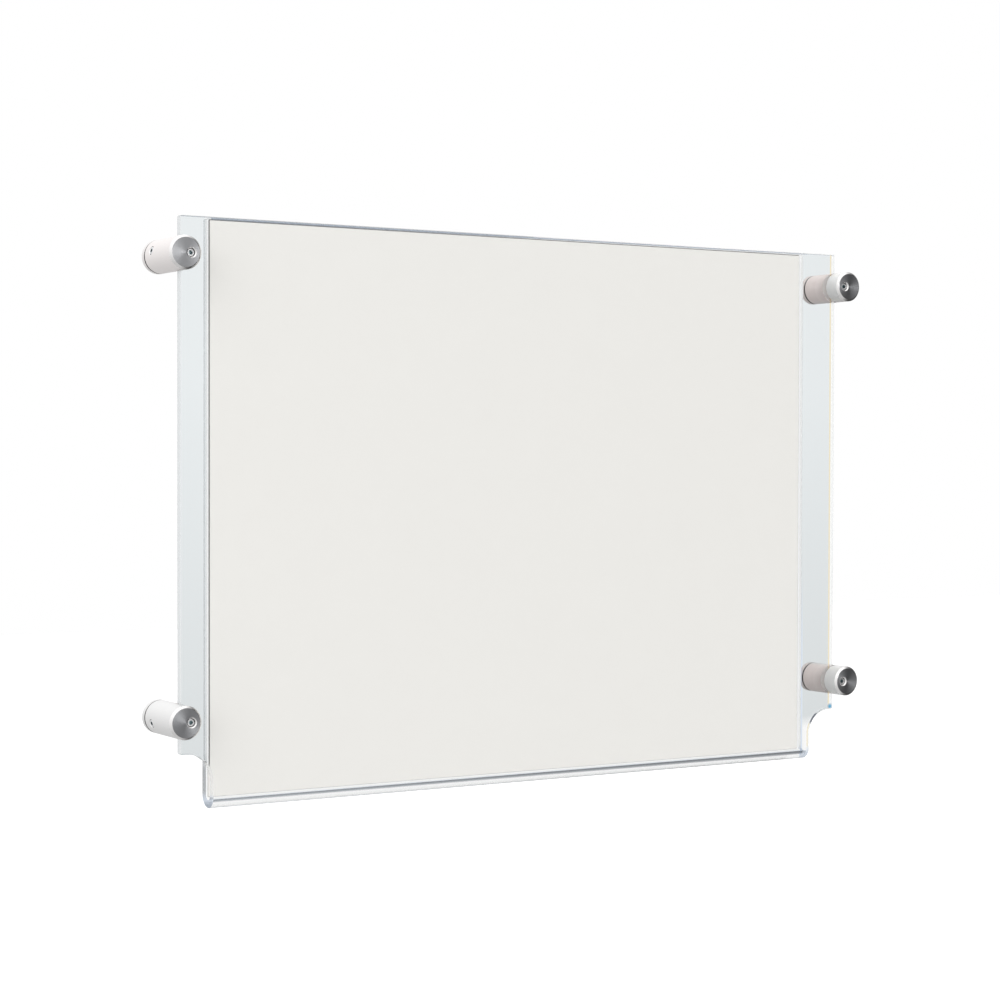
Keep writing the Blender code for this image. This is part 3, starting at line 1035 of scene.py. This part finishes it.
screwTree = makeScrewTree(screwDetail)
gripFinish = makeSatinMetal("brightSteel", screwLook["grip"])
lockFinish = makeSatinMetal("darkSteel", screwLook["lock"])
socketFinish = makeSatinMetal("shadedSocket", screwLook["socket"])
gripValues = {**screwSizes, **gripScrew, "Finish": gripFinish, "Socket Finish": socketFinish}
lockValues = {**screwSizes, **lockScrew, "Finish": lockFinish, "Socket Finish": socketFinish}
for corner in corners:
    place = standoffPlace(corner)
    gripPlace = place @ Matrix.Translation((barrelSizes["gripOffset"], 0, 0))
    screw = makeScrew(camelName("gripScrew", corner), screwTree, gripValues, gripPlace)
    finishPiece(screw, "grip_screw_" + corner, "grip_screw_" + corner)
    lockFrame = place @ lockPlace(corner, barrelSizes["lockHeight"])
    screw = makeScrew(camelName("lockScrew", corner), screwTree, lockValues, lockFrame)
    finishPiece(screw, "lock_screw_" + corner, "lock_screw_" + corner)
print("set screws: 8, with", len(screw.data.polygons), "faces in the last one")


# Studio: white surroundings, with a darker room at the right for the metal to reflect
studio = {
    "diffuseLevel": 0.5,
    "darkSide": (0.97, -0.2, -0.15),
    "darkFrom": 0.15,
    "darkTo": 0.80,
    "darkLevel": 0.08,
    "innerLevel": 0.32,
    "groundSpan": (-0.8, 0.8),
    "groundLevel": (0.60, 1.30),
    "floorTop": -0.55,
    "floorThickness": 0.02,
    "floorHalf": 6.0,
    "floorColour": (0.80, 0.80, 0.80),
    "floorLift": 0.42,
    "keyFrom": (-0.62, -0.66, 0.42),
    "keyStrength": 1.61,
    "fillFrom": (0.35, -0.88, 0.30),
    "fillStrength": 0.51,
    "backFrom": (0.25, 0.90, 0.35),
    "backStrength": 1.1,
    "lampAngle": radians(60),
    "faceFrom": (0.14, -0.985, 0.09),
    "faceStrength": 0.25,
    "faceAngle": radians(14),
}


def facing(tree, direction, aim):
    values = {0: direction, 1: Vector(aim).normalized()}
    return addNode(tree, "ShaderNodeVectorMath", values, operation='DOT_PRODUCT').outputs["Value"]


def seenRay(tree):
    path = addNode(tree, "ShaderNodeLightPath").outputs
    through = maths(tree, 'MAXIMUM', path["Is Glossy Ray"], path["Is Transmission Ray"])
    return maths(tree, 'MAXIMUM', path["Is Camera Ray"], through), path


def makeWorld(look):
    # reflections see the dark room and a dimmer ground, and inside the clear sheet paler ones
    world = bpy.data.worlds.new("studio")
    scene.world = world
    world.use_nodes = True
    tree = world.node_tree
    seen, path = seenRay(tree)
    direction = addNode(tree, "ShaderNodeTexCoord").outputs["Generated"]
    darkest = mapRange(tree, path["Transmission Depth"], 0, 1, look["darkLevel"], look["innerLevel"])
    dark = addNode(tree, "ShaderNodeMapRange", {
        "Value": facing(tree, direction, look["darkSide"]),
        "From Min": look["darkFrom"],
        "From Max": look["darkTo"],
        "To Min": 1.0,
        "To Max": darkest,
    }, interpolation_type='SMOOTHSTEP')
    upward = facing(tree, direction, (0, 0, 1))
    ground = mapRange(tree, upward, *look["groundSpan"], *look["groundLevel"])
    room = multiply(tree, dark.outputs[0], ground)
    reflected = maths(tree, 'MINIMUM', path["Glossy Depth"], 1.0)
    change = multiply(tree, reflected, maths(tree, 'SUBTRACT', room, 1.0))
    shown = maths(tree, 'ADD', 1.0, change)
    plain = tree.nodes["Background"]
    plain.inputs["Color"].default_value = (1, 1, 1, 1)
    plain.inputs["Strength"].default_value = look["diffuseLevel"]
    white = addNode(tree, "ShaderNodeBackground", {"Color": (1, 1, 1, 1), "Strength": shown})
    mix = addNode(tree, "ShaderNodeMixShader", {0: seen, 1: plain.outputs[0], 2: white.outputs[0]})
    tree.links.new(mix.outputs[0], tree.nodes["World Output"].inputs["Surface"])


def makeFloor(look):
    half = look["floorHalf"]
    top = look["floorTop"]
    shape = blockShape((-half, -half, top - look["floorThickness"]), (half, half, top))
    mesh = shapeToMesh("floor", shape)
    finish, tree, shader = newFinish("floorFinish", {
        "Roughness": 1.0,
        "Specular IOR Level": 0.0,
        "Base Color": (*look["floorColour"], 1),
        "Emission Color": (1, 1, 1, 1),
    })
    lift = multiply(tree, seenRay(tree)[0], look["floorLift"])
    tree.links.new(lift, shader.inputs["Emission Strength"])
    mesh.materials.append(finish)
    floor = newPiece("floor", mesh)
    floor.visible_glossy = False
    floor.visible_transmission = False


def makeLamp(name, fromSide, strength, angle):
    lamp = bpy.data.objects.new(name, bpy.data.lights.new(name, 'SUN'))
    lamp.data.energy = strength
    lamp.data.angle = angle
    lamp.rotation_euler = Vector(fromSide).to_track_quat('Z', 'Y').to_euler()
    lamp.location = Vector(fromSide)
    lamp.visible_glossy = False
    lamp.visible_transmission = False
    scene.collection.objects.link(lamp)
    return lamp


def makeFaceLamp(look):
    # a small lamp that only the turned metal sees, for the fan of light on the spun faces
    lamp = makeLamp("faceLamp", look["faceFrom"], look["faceStrength"], look["faceAngle"])
    lamp.visible_glossy = True
    turned = bpy.data.collections.new("turnedMetal")
    for corner in corners:
        for piece in ("barrel", "gripScrew"):
            turned.objects.link(bpy.data.objects[camelName(piece, corner)])
    lamp.light_linking.receiver_collection = turned


makeWorld(studio)
makeFloor(studio)
makeLamp("keyLamp", studio["keyFrom"], studio["keyStrength"], studio["lampAngle"])
makeLamp("fillLamp", studio["fillFrom"], studio["fillStrength"], studio["lampAngle"])
makeLamp("backLamp", studio["backFrom"], studio["backStrength"], studio["lampAngle"])
makeFaceLamp(studio)
print("studio: world, floor, three soft lamps and one small lamp")
